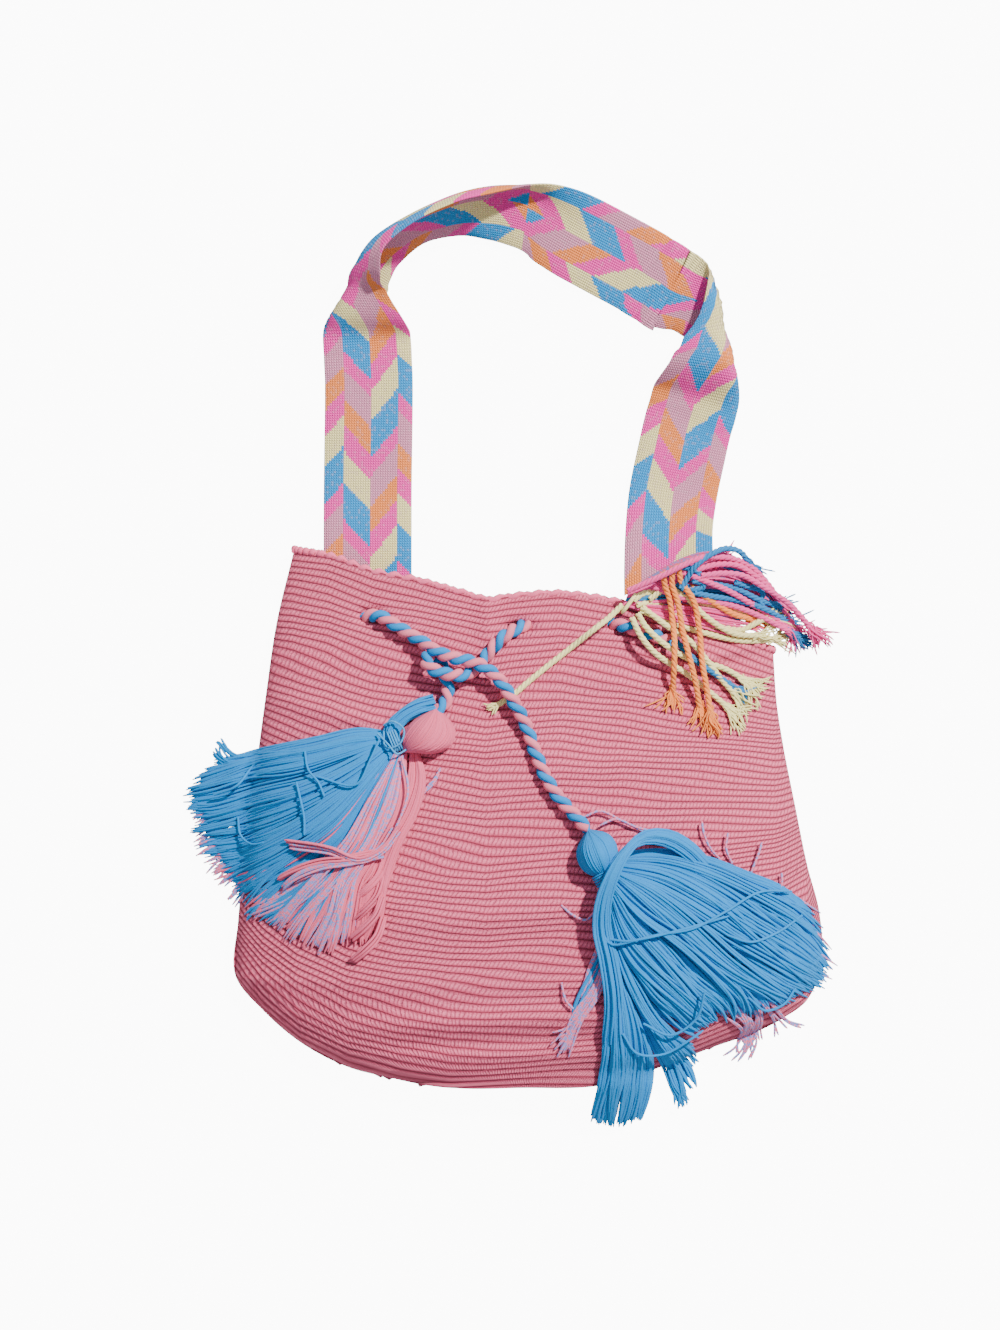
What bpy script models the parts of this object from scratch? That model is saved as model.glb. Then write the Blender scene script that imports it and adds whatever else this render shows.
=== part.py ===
"""A crocheted wayuu mochila bag on its back: bag, woven strap, drawstring, two tassels, loose yarn ends.

Metres, +Z up.  The origin is the middle of the back panel, on the floor, and +Y runs to the mouth.
"""

import bpy
import bmesh
import numpy as np
from mathutils import Vector

MM = 0.001

# Bag: plan outline of the flat sack, from the mouth's corners round to the two ends of the bottom row.
LEFT_RAIL = [(-112.5, 125), (-121, 90), (-127, 50), (-131, 20), (-136, -20), (-140.5, -60), (-141.5, -88),
             (-127.5, -105), (-110, -120), (-85, -133), (-60, -139)]
RIGHT_RAIL = [(126, 75), (128, 47), (131.5, 25), (136.5, 0), (143, -32), (149, -55), (150, -80),
              (142.5, -100), (130, -109), (90, -125), (70, -132.5)]
MOUTH_LINE = [(-112.5, 125), (-95, 122), (-72.5, 114), (-52.5, 110), (-27, 103), (-16.5, 100), (-5, 101.5),
              (20, 103), (50, 98.5), (90, 87), (126, 75)]
BOTTOM_LINE = [(-60, -139), (-35, -142), (0, -141.5), (40, -140.5), (70, -132.5)]
HEIGHT_KNOTS = [(-143, 24), (-125, 35), (-90, 44), (-45, 47), (10, 42), (60, 33), (100, 26), (130, 24)]
EDGE_HEIGHT = 9.0
WALL = 3.5
ROWS = 30
COLUMNS = 64
FLAT_BACK = 0.86
BASE_RECESS = 1.0

# Strap: width, thickness and stations along it: the middle of its plan (x, y), its lowest height, the slope
# across it in degrees beside each selvedge, and the share of its width where one slope turns into the other.
STRAP_WIDTH = 44.0
STRAP_THICKNESS = 2.4
CURL_WIDTH = 0.11
END_SHEAR = 0.46
END_REACH = 42.0
STRAP_STATIONS = [(-76, 88, 4.2, 0, 0, -0.4), (-76, 104, 4.6, 0, 0, -0.4), (-76, 120, 4.8, 0, 0, -0.4),
                  (-76, 155, 2.4, 0, 0, -0.4), (-75.5, 195, 2.0, 20, 0, -0.4),
                  (-76, 222, 2.0, 110, 0, -0.3), (-76.5, 238, 2.0, 150, 2, 0.08),
                  (-76, 250, 2.0, 160, 8, 0.42), (-72.5, 263, 2.0, 136, 30, 0.62),
                  (-64, 274.5, 2.0, 124, 55, 0.68), (-50, 284, 2.0, 118, 66, 0.68),
                  (-32, 290, 2.0, 128, 67, 0.68), (-15, 291.5, 2.0, 148, 66, 0.68),
                  (0, 290, 2.0, 162, 88, 0.68), (15, 286.5, 2.0, 170, 132, 0.68),
                  (35, 277.5, 2.0, 176, 168, 0.72), (52, 268.5, 2.0, 176, 172, 1.0),
                  (64, 261.5, 2.0, 176, 120, 1.3), (74, 255, 2.0, 174, 30, 1.2),
                  (81, 249.5, 2.0, 172, 4, 0.94), (86.5, 243.5, 2.0, 171, 3, 0.74),
                  (90.2, 236, 2.0, 168, 3, 0.57), (91.6, 227, 2.0, 160, 2, 0.42),
                  (90.6, 217, 2.0, 140, 1, 0.25), (89, 207, 2.0, 110, 0, 0.08),
                  (86.4, 196, 2.0, 60, 0, -0.12), (81, 175, 2.4, 0, 0, -0.4), (76, 151, 5, 0, 0, -0.4),
                  (74, 133, 11, 0, 0, -0.4), (73.5, 122, 16, 0, 0, -0.4), (73.5, 112, 19, 0, -2, -0.4)]

ROPE = 6.6
YARN = 3.0

# Drawstring, from the left tassel by the knot and the eyelets to the right one: (x, y, lift off the cloth).
ROPE_ROUTE = [(-37.0, 49.0, 4.6), (-35.6, 54.5, 4.0), (-36.4, 60.5, 3.9), (-38.0, 65.5, 3.9),
              (-40.0, 70.0, 4.1), (-43.6, 72.2, 6.2), (-46.4, 70.4, 9.6), (-44.8, 66.6, 11.9),
              (-39.0, 64.0, 11.8), (-31.0, 62.4, 11.0), (-24.6, 64.0, 6.8), (-19.5, 68.4, 4.0),
              (-13.5, 76.0, 3.9), (-7.5, 82.0, 4.5), (-1.6, 85.6, 1.2), (3.5, 87.6, -4.0),
              (10, 88.6, -8.8), (24, 88.6, -8.8), (38, 88.4, -8.8), (45.2, 88.0, -4.4),
              (50.0, 87.0, 1.4), (56, 85.2, 3.9), (64, 82.6, 4.8), (72.0, 80.0, 1.0), (76.6, 77.4, -6.4),
              (81, 73.6, -11.6), (84, 62, -12.0), (66, 50, -17.0), (30, 45, -22.0), (-10, 44, -22.0),
              (-50, 46, -19.0), (-80, 55, -12.5), (-90, 68, -9.5), (-86, 81, -9.4), (-80.0, 88.6, -7.4),
              (-73.0, 92.0, 0.4), (-67.0, 90.6, 4.6), (-60, 86.0, 4.6), (-50, 80.0, 6.6),
              (-40, 73.6, 11.0), (-31.0, 70.6, 11.6), (-21.0, 68.2, 11.6), (-12.0, 62.0, 9.6),
              (-4.0, 50.5, 7.6), (2.0, 39.5, 4.8), (7.0, 25.5, 4.0), (12.5, 12.5, 4.0), (20.0, 1.0, 4.0),
              (27.5, -7.0, 4.6), (32.5, -13.2, 7.0)]
EYELETS = [(-1.0, 86.0), (49.0, 87.2), (73.0, 79.6), (-73.5, 91.6)]
EYELET_REACH = 8.0
EYELET_CLEARANCE = 0.9

# Loose plied ends of the strap's warp, by colour: routes of (x, y, lift off the cloth).
YARN_ENDS = {
    "cream": [
        [(56, 99.5, 6), (60, 102.5, 5), (70, 103, 3.5), (85, 99, 3), (100, 95.5, 3), (118, 92.5, 4)],
        [(57.5, 97, 5), (65, 98.2, 3.5), (77.5, 92.5, 2), (100, 86, 2), (110, 85, 3), (117, 88.4, 5),
         (122, 91, 6)],
        [(59.5, 94.4, 5), (70, 90, 2), (85, 85, 2), (112, 79.5, 2), (125, 80, 4)],
        [(58, 92.5, 5), (61.5, 86.5, 9.6), (70, 78.5, 9.6), (80, 72, 5), (102.5, 65, 2), (111, 60, 2)],
        [(55, 90.6, 8), (59, 82, 10.8), (66, 73.6, 9.2), (74, 68, 5.2), (80, 64.5, 3.2), (92.5, 55, 2),
         (103, 46, 2)]],
    "orange": [
        [(71, 107.5, 12), (73.5, 100, 10), (75.2, 88, 7), (75.8, 76, 11), (75.6, 67.5, 10.2), (75, 55, 2)],
        [(74.6, 108, 12), (77.6, 98, 11), (80, 84, 8), (83, 72, 9.4), (86, 60, 7.6), (88.5, 47, 2.5)],
        [(79, 109, 12), (85, 100, 11), (88, 86, 8), (90, 66, 7), (92, 55, 6), (93.5, 44, 5)]],
    "blue": [
        [(82, 110, 13), (86, 116, 16), (93, 121.5, 16), (102, 125, 14), (109, 123, 12), (112.5, 118.5, 10)],
        [(85, 109, 12), (95, 107.5, 9), (107, 105, 8), (119, 99.5, 8), (127, 97.5, 8)],
        [(85.4, 103.2, 9.5), (94, 101.5, 7.6), (107, 99.5, 6.6), (121, 95.3, 8.5), (131, 90, 6)]],
    "pink": [
        [(86.6, 114.4, 13), (97, 117, 11), (107, 116.6, 11), (118, 110, 10), (127, 101, 6), (135, 87, 4)],
        [(89, 111.4, 13), (99, 112.6, 13), (109, 111.8, 13), (121, 105.5, 14), (134, 97, 11.5),
         (143, 86, 9)]],
}
CREAM_TAIL = [(50.2, 97.0, 4.2), (45, 92, 5.5), (38, 86.4, 9.8), (25, 76, 3.6), (12, 65.8, 2.4),
              (3, 58.4, 2.2), (-2.5, 53.6, 2.1), (-8, 49.8, 2.1), (-12, 47.4, 2)]

COLOURS = {
    "pink_cotton": (0.69, 0.26, 0.33), "blue_cotton": (0.03, 0.46, 0.80),
    "hot_pink_yarn": (0.95, 0.16, 0.46),
    "orange_yarn": (1.0, 0.40, 0.19), "cream_yarn": (0.81, 0.79, 0.49), "strap_weave": (0.58, 0.24, 0.38),
}


def clear_scene():
    for thing in list(bpy.data.objects):
        bpy.data.objects.remove(thing)


def new_collection(name):
    collection = bpy.data.collections.new(name)
    bpy.context.scene.collection.children.link(collection)
    return collection


def make_material(name, colour):
    material = bpy.data.materials.new(name)
    material.use_nodes = True
    shader = material.node_tree.nodes["Principled BSDF"]
    shader.inputs["Base Color"].default_value = (*colour, 1.0)
    shader.inputs["Roughness"].default_value = 0.9
    return material


def smooth_line(points, count):
    """Evenly spaced points on a smooth curve through the given ones."""
    knots = np.array(points, float)
    steps = np.linalg.norm(np.diff(knots, axis=0), axis=1)
    place = np.concatenate([[0], np.cumsum(steps)])
    slopes = np.gradient(knots, place, axis=0)
    dense = np.linspace(0, place[-1], 40 * len(points))
    index = np.clip(np.searchsorted(place, dense) - 1, 0, len(points) - 2)
    span = (place[index + 1] - place[index])[:, None]
    t = (dense - place[index])[:, None] / span
    start, end = knots[index], knots[index + 1]
    curve = ((2 * t**3 - 3 * t**2 + 1) * start + (t**3 - 2 * t**2 + t) * span * slopes[index]
             + (3 * t**2 - 2 * t**3) * end + (t**3 - t**2) * span * slopes[index + 1])
    run = np.concatenate([[0], np.cumsum(np.linalg.norm(np.diff(curve, axis=0), axis=1))])
    even = np.linspace(0, run[-1], count)
    return np.stack([np.interp(even, run, column) for column in curve.T], axis=1)


def cloth_top(x, y):
    """Height of the front panel's outer face above the floor, in mm."""
    left = np.array(LEFT_RAIL, float)[::-1]
    right = np.array(RIGHT_RAIL, float)[::-1]
    low = np.interp(y, left[:, 1], left[:, 0])
    high = np.interp(y, right[:, 1], right[:, 0])
    across = np.clip(abs(2 * (x - low) / (high - low) - 1), 0, 1)
    knots = np.array(HEIGHT_KNOTS, float)
    crown = np.interp(y, knots[:, 0], knots[:, 1])
    return EDGE_HEIGHT + (crown - EDGE_HEIGHT) * (1 - across**2.6) ** 0.6


def ground(x, y):
    """Height of what loose yarn lies on: the cloth, or the slope from the bag's edge down to the floor."""
    outside = np.clip(max(-140 - x, x - 150, -142 - y, y - 126), 0, 30)
    return cloth_top(x, y) * (1 - outside / 30) + 0.6


def ring_of_row(row):
    """One closed row of the sack: over the front from left to right, and back underneath."""
    angle = np.linspace(0, 2 * np.pi, COLUMNS, endpoint=False)
    across = -np.cos(angle)
    side = (across + 1) / 2
    v = row / ROWS
    count = 4 * ROWS + 1
    left = smooth_line(LEFT_RAIL, count)[4 * row]
    right = smooth_line(RIGHT_RAIL, count)[4 * row]
    mouth = smooth_line(MOUTH_LINE, 201)
    bottom = smooth_line(BOTTOM_LINE, 201)
    place = np.linspace(0, 1, 201)
    ring = []
    for a, s, h in zip(angle, across, side):
        top = np.array([np.interp(h, place, mouth[:, k]) for k in (0, 1)])
        low = np.array([np.interp(h, place, bottom[:, k]) for k in (0, 1)])
        corners = ((1 - h) * (1 - v) * mouth[0] + h * (1 - v) * mouth[-1]
                   + (1 - h) * v * bottom[0] + h * v * bottom[-1])
        x, y = (1 - h) * left + h * right + (1 - v) * top + v * low - corners
        if a <= np.pi:
            z = cloth_top(x, y)
        else:
            rise = np.clip((abs(s) - FLAT_BACK) / (1 - FLAT_BACK), 0, 1)
            z = EDGE_HEIGHT * (1 - np.sqrt(1 - rise**2))
        ring.append((x, y, z))
    return np.array(ring)


def loft(name, rings, closed_end, collection, material):
    """An open surface through equal rings, its last ring closed to a point if asked."""
    mesh = bmesh.new()
    rows = [[mesh.verts.new(Vector(p) * MM) for p in ring] for ring in rings]
    for upper, lower in zip(rows, rows[1:]):
        for i in range(len(upper)):
            j = (i + 1) % len(upper)
            mesh.faces.new((upper[i], upper[j], lower[j], lower[i]))
    if closed_end:
        tip = mesh.verts.new(Vector(np.mean(rings[-1], axis=0)) * MM)
        for i in range(len(rows[-1])):
            mesh.faces.new((rows[-1][i], rows[-1][(i + 1) % len(rows[-1])], tip))
    return finish_mesh(name, mesh, collection, material)


def sheet(name, grid, collection, material):
    """An open surface through a grid of points."""
    mesh = bmesh.new()
    rows = [[mesh.verts.new(Vector(p) * MM) for p in line] for line in grid]
    for upper, lower in zip(rows, rows[1:]):
        for i in range(len(upper) - 1):
            mesh.faces.new((upper[i], upper[i + 1], lower[i + 1], lower[i]))
    return finish_mesh(name, mesh, collection, material)


def finish_mesh(name, mesh, collection, material):
    data = bpy.data.meshes.new(name)
    mesh.to_mesh(data)
    mesh.free()
    thing = bpy.data.objects.new(name, data)
    thing.data.materials.append(material)
    collection.objects.link(thing)
    return thing


def thicken(thing, thickness, offset):
    solid = thing.modifiers.new("thickness", "SOLIDIFY")
    solid.thickness = thickness * MM
    solid.offset = offset


def tube(name, points, radius, collection, material, sides=2):
    curve = bpy.data.curves.new(name, "CURVE")
    curve.dimensions = "3D"
    curve.bevel_depth = radius * MM
    curve.bevel_resolution = sides
    curve.use_fill_caps = True
    spline = curve.splines.new("POLY")
    spline.points.add(len(points) - 1)
    for point, place in zip(spline.points, points):
        point.co = (*(np.array(place) * MM), 1.0)
    thing = bpy.data.objects.new(name, curve)
    curve.materials.append(material)
    collection.objects.link(thing)
    return thing


def lifted(route, count):
    """A smooth route whose heights are lifts off the cloth."""
    points = [(x, y, float(ground(x, y)) - 0.6 + lift) for x, y, lift in route]
    return smooth_line(points, count)


def to_mesh(thing, collection):
    """Turns a curve object into a welded mesh object, so that it can cut."""
    evaluated = thing.evaluated_get(bpy.context.evaluated_depsgraph_get())
    data = bpy.data.meshes.new_from_object(evaluated)
    mesh = bmesh.new()
    mesh.from_mesh(data)
    bmesh.ops.remove_doubles(mesh, verts=mesh.verts, dist=1e-6)
    mesh.to_mesh(data)
    mesh.free()
    solid = bpy.data.objects.new(thing.name + "_solid", data)
    solid.matrix_world = thing.matrix_world
    collection.objects.link(solid)
    bpy.data.objects.remove(thing)
    return solid


def make_bag(parts, cutters, materials, rope_line):
    rings = [ring_of_row(row) for row in range(ROWS + 1)]
    last = rings[-1]
    middle = last.mean(axis=0)
    bottom = smooth_line(BOTTOM_LINE, 201)
    for scale in (0.8, 0.5, 0.2):
        ring = middle + (last - middle) * scale
        ring[:, 1] = np.interp(ring[:, 0], bottom[:, 0], bottom[:, 1]) + BASE_RECESS * (1 - scale)
        rings.append(ring)
    bag = loft("bag_body", rings, True, parts, materials["pink_cotton"])
    thicken(bag, WALL, 1.0)
    for number, (x, y) in enumerate(EYELETS):
        near = rope_line[np.hypot(rope_line[:, 0] - x, rope_line[:, 1] - y) < EYELET_REACH]
        wall = cloth_top(x, y)
        near = near[abs(near[:, 2] - wall + WALL / 2) < EYELET_REACH]
        cutter = tube(f"eyelet_cutter_{number}", near, ROPE / 2 + EYELET_CLEARANCE, cutters,
                      materials["pink_cotton"])
        bpy.context.view_layer.update()
        cutter = to_mesh(cutter, cutters)
        cutter.hide_render = True
        cutter.display_type = "WIRE"
        cut = bag.modifiers.new(f"eyelet_{number}", "BOOLEAN")
        cut.operation = "DIFFERENCE"
        cut.solver = "EXACT"
        cut.object = cutter
    return bag


def strap_section(station, count):
    """Points across the strap from one selvedge to the other, in the upright plane across its own line."""
    x, y, low, slope_a, slope_b, fold, heading = station
    fine = np.linspace(0, 1, 121)
    share = 0.5 + 0.5 * np.tanh((fine - fold) / CURL_WIDTH)
    slope = np.radians(slope_a + (slope_b - slope_a) * share)
    step = STRAP_WIDTH / 120
    aside = np.concatenate([[0], np.cumsum(np.cos(slope[1:]) * step)])
    above = np.concatenate([[0], np.cumsum(np.sin(slope[1:]) * step)])
    aside -= (aside.min() + aside.max()) / 2
    above += low + STRAP_THICKNESS / 2 - above.min()
    place = np.linspace(0, 1, count)
    aside, above = np.interp(place, fine, aside), np.interp(place, fine, above)
    right = heading - np.pi / 2
    return np.stack([x + aside * np.cos(right), y + aside * np.sin(right), above], axis=1)


def strap_grid(lengthwise, crosswise):
    stations = smooth_line(STRAP_STATIONS, lengthwise)
    slopes = np.gradient(stations[:, :2], axis=0)
    headings = np.unwrap(np.arctan2(slopes[:, 1], slopes[:, 0]))
    return np.array([strap_section((*s, h), crosswise) for s, h in zip(stations, headings)])


def end_share(y, x):
    """How far the strap's right end is pulled askew: 1 at its end and 0 farther up."""
    near = np.clip(1 - (y - STRAP_STATIONS[-1][1]) / END_REACH, 0, 1)
    return near**2 * (3 - 2 * near) if x > 0 else 0.0


def make_strap(parts, materials):
    grid = strap_grid(80, 13)
    for row in grid:
        middle = (row[0] + row[-1]) / 2
        row[:, 1] += END_SHEAR * (row[:, 0] - middle[0]) * end_share(middle[1], middle[0])
    strap = sheet("shoulder_strap", grid, parts, materials["strap_weave"])
    thicken(strap, STRAP_THICKNESS, 0.0)


def fan_pad(name, root, tips, lifts, thickness, parts, material):
    """A draped pad of tassel yarn between a short root line and a line of tips."""
    start = smooth_line(root, 9)
    end = smooth_line(tips, 9)
    grid = []
    for t in np.linspace(0, 1, 9):
        line = start * (1 - t) + end * t
        lift = lifts[0] * (1 - t) + lifts[1] * t
        grid.append([(x, y, float(ground(x, y)) + lift) for x, y in line])
    pad = sheet(name, grid, parts, material)
    solid = pad.modifiers.new("thickness", "SOLIDIFY")
    solid.thickness = thickness * MM
    solid.offset = 1.0
    return pad


def ball(name, place, size, turn, parts, material):
    """A flattened ball of yarn."""
    mesh = bmesh.new()
    bmesh.ops.create_uvsphere(mesh, u_segments=16, v_segments=10, radius=0.5)
    thing = finish_mesh(name, mesh, parts, material)
    thing.location = Vector(place) * MM
    thing.rotation_euler = (0, 0, np.radians(turn))
    thing.scale = Vector(size) * MM
    return thing


def resting(x, y, lift):
    return (x, y, float(ground(x, y)) + lift)


def make_tassels(parts, materials):
    pink, blue = materials["pink_cotton"], materials["blue_cotton"]
    ball("left_tassel_head", resting(-44.5, 30.0, 9.5), (18, 27, 17), -12, parts, pink)
    loop = lifted([(-43.5, 48.6, 4.8), (-50, 46.2, 5.2), (-57, 41.5, 5.2), (-61, 35.2, 5.4)], 8)
    tube("left_tassel_loop", loop, 3.2, parts, blue, 3)
    tube("left_tassel_binding", [resting(-56.2, 31.4, 4.6), resting(-61.4, 25.2, 4.6)], 4.4, parts, pink, 3)
    fan_pad("left_tassel_blue_yarn", [(-64.6, 26), (-65, 29.6), (-64.5, 33)],
            [(-138, -52), (-152, -32), (-167, -8), (-164, 12), (-149, 33)], (1.4, 3.4), 9, parts, blue)
    fan_pad("left_tassel_pink_yarn", [(-56, 20), (-61, 20.2), (-63.4, 22.6)],
            [(-67, -46), (-76, -68), (-92, -73), (-112, -71), (-131, -64)], (1.4, 2.2), 9, parts, pink)
    ball("right_tassel_head", resting(36.5, -22.5, 10.0), (19, 21, 18), 25, parts, blue)
    tube("right_tassel_binding", [resting(40.6, -34.2, 6.6), resting(43.2, -40.0, 6.6)], 6.2, parts, pink, 3)
    fan_pad("right_tassel_main_yarn", [(49.5, -36), (50.4, -39), (50, -42)],
            [(121, -34), (142, -52), (150, -72), (146, -96), (128, -106), (96, -109)], (2.4, 4.2), 11,
            parts, blue)
    fan_pad("right_tassel_lower_yarn", [(47.4, -45.2), (44, -46.4), (38.6, -45)],
            [(84, -122), (66, -146), (46, -157), (28, -150), (14, -116)], (2.6, 7.0), 9, parts, blue)


def make_yarn_ends(parts, materials):
    slots = {"cream": "cream_yarn", "orange": "orange_yarn", "blue": "blue_cotton", "pink": "hot_pink_yarn"}
    for colour, routes in YARN_ENDS.items():
        for number, route in enumerate(routes):
            points = lifted(route, 14)
            tube(f"{colour}_yarn_end_{number + 1}", points, YARN / 2, parts, materials[slots[colour]])
    tube("cream_yarn_tail", lifted(CREAM_TAIL, 18), YARN / 2, parts, materials["cream_yarn"])
    ball("strap_end_knot", resting(53.6, 97.8, 4.6), (4.0, 4.6, 7), 0, parts, materials["cream_yarn"])


def main():
    clear_scene()
    parts = new_collection("wayuu_mochila_bag")
    cutters = new_collection("cutters")
    materials = {name: make_material(name, colour) for name, colour in COLOURS.items()}
    rope_line = lifted(ROPE_ROUTE, 80)
    make_bag(parts, cutters, materials, rope_line)
    make_strap(parts, materials)
    tube("drawstring", rope_line, ROPE / 2, parts, materials["blue_cotton"])
    make_tassels(parts, materials)
    make_yarn_ends(parts, materials)


main()
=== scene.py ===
"""The looks of a crocheted wayuu mochila bag lying on its back, seen from straight above.

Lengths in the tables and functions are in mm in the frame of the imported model; meshes are made in metres.
"""

import math

import bmesh
import bpy
import numpy as np
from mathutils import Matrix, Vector

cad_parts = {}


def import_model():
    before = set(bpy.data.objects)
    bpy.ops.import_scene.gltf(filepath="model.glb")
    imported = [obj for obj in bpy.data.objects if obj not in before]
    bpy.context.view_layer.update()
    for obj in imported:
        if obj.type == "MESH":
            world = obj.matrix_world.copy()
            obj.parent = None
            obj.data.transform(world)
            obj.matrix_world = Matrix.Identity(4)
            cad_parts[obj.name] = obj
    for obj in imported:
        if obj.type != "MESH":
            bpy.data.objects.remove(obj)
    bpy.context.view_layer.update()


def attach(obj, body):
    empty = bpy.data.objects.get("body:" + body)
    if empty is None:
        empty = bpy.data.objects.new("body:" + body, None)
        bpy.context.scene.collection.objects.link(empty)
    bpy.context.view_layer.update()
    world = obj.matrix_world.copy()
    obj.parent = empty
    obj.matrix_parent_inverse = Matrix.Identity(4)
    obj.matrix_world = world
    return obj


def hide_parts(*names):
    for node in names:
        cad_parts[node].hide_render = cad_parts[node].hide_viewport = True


MM = 0.001
RNG = np.random.default_rng(7)

# The bag's plan, as part.py draws it.
LEFT_RAIL = [(-112.5, 125), (-121, 90), (-127, 50), (-131, 20), (-136, -20), (-140.5, -60), (-141.5, -88),
             (-127.5, -105), (-110, -120), (-85, -133), (-60, -139)]
RIGHT_RAIL = [(126, 75), (128, 47), (131.5, 25), (136.5, 0), (143, -32), (149, -55), (150, -80),
              (142.5, -100), (130, -109), (90, -125), (70, -132.5)]
MOUTH_LINE = [(-112.5, 125), (-95, 122), (-72.5, 114), (-52.5, 110), (-27, 103), (-16.5, 100), (-5, 101.5),
              (20, 103), (50, 98.5), (90, 87), (126, 75)]
BOTTOM_LINE = [(-60, -139), (-35, -142), (0, -141.5), (40, -140.5), (70, -132.5)]
HEIGHT_KNOTS = [(-143, 24), (-125, 35), (-90, 44), (-45, 47), (10, 42), (60, 33), (100, 26), (130, 24)]
LOWER_EDGE = [(-150, -84), (-141.5, -88), (-127.5, -105), (-110, -120), (-85, -133), (-60, -139), (-35, -142),
              (0, -141.5), (40, -140.5), (70, -132.5), (90, -125), (130, -109), (142.5, -100), (150, -80)]
# The edge's height above the floor, the cloth's thickness, and the share of the width that lies flat behind.
EDGE_HEIGHT = 9.0
WALL = 3.5
FLAT_BACK = 0.86
# Where loose yarn leaves the bag, how wide its slope down to the floor is, and its gap above the cloth.
BAG_LEFT, BAG_RIGHT, BAG_LOW, BAG_HIGH = -140, 150, -142, 126
EDGE_SLOPE = 30
CLOTH_GAP = 0.6
# The crochet: rows down the bag, stitches round it, and how far the rows stand out.
CROCHET_ROWS = 66
STITCHES_ROUND = 270
ROW_RELIEF = 0.62
MESH_LINES = 420
FRONT_COLUMNS = 150
BACK_COLUMNS = 36
LINING_LINES = 61
LINING_FRONT = 60
BASE_RINGS = 16
RIM_POINTS = 400

# Creases in the front panel: (x, y, direction in degrees, half length, half width, depth).
CREASES = [(104, 74, 14, 34, 3.2, 2.4), (100, 66, 12, 26, 5.0, -1.6), (66, 20, 6, 60, 7, 1.2),
           (-95, 44, -12, 36, 5, 1.8), (-20, 26, -3, 46, 6, 1.3), (20, -54, 4, 90, 7, 1.6),
           (-92, -46, -8, 40, 6, 1.2), (-10, -107, 3, 80, 6, 2.4), (-8, -118, 3, 60, 4.5, -1.4),
           (-16.5, 92, 90, 14, 5, 1.8), (96, -78, 8, 40, 6, 1.4), (40, 60, -8, 30, 5, 1.0)]

STRAP_WIDTH = 44.0
STRAP_THICKNESS = 2.4
CURL_WIDTH = 0.11
STRAP_STATIONS = [(-76, 88, 4.2, 0, 0, -0.4), (-76, 104, 4.6, 0, 0, -0.4), (-76, 120, 4.8, 0, 0, -0.4),
                  (-76, 155, 2.4, 0, 0, -0.4), (-75.5, 195, 2.0, 20, 0, -0.4),
                  (-76, 222, 2.0, 110, 0, -0.3), (-76.5, 238, 2.0, 150, 2, 0.08),
                  (-76, 250, 2.0, 160, 8, 0.42), (-72.5, 263, 2.0, 136, 30, 0.62),
                  (-64, 274.5, 2.0, 124, 55, 0.68), (-50, 284, 2.0, 118, 66, 0.68),
                  (-32, 290, 2.0, 128, 67, 0.68), (-15, 291.5, 2.0, 148, 66, 0.68),
                  (0, 290, 2.0, 162, 88, 0.68), (15, 286.5, 2.0, 170, 132, 0.68),
                  (35, 277.5, 2.0, 176, 168, 0.72), (52, 268.5, 2.0, 176, 172, 1.0),
                  (64, 261.5, 2.0, 176, 120, 1.3), (74, 255, 2.0, 174, 30, 1.2),
                  (81, 249.5, 2.0, 172, 4, 0.94), (86.5, 243.5, 2.0, 171, 3, 0.74),
                  (90.2, 236, 2.0, 168, 3, 0.57), (91.6, 227, 2.0, 160, 2, 0.42),
                  (90.6, 217, 2.0, 140, 1, 0.25), (89, 207, 2.0, 110, 0, 0.08),
                  (86.4, 196, 2.0, 60, 0, -0.12), (81, 175, 2.4, 0, 0, -0.4), (76, 151, 5, 0, 0, -0.4),
                  (74, 133, 11, 0, 0, -0.4), (73.5, 122, 16, 0, 0, -0.4), (73.5, 112, 19, 0, -2, -0.4)]
STRAP_FOLD_AT = 260.35
PATTERN_PERIOD = 84.0
PATTERN_SHIFT = 0.414
END_SHEAR = 0.46
END_REACH = 42.0
WEAVE_ACROSS = 36
WEAVE_LENGTH = 1.25

# Twisted cords: outside diameter; a ply's distance from the middle line, its radius and the length of a turn.
ROPE_OFFSET, ROPE_PLY, ROPE_TURN = 1.62, 1.95, 12.6
YARN_OFFSET, YARN_PLY, YARN_TURN = 0.72, 0.86, 8.4
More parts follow.
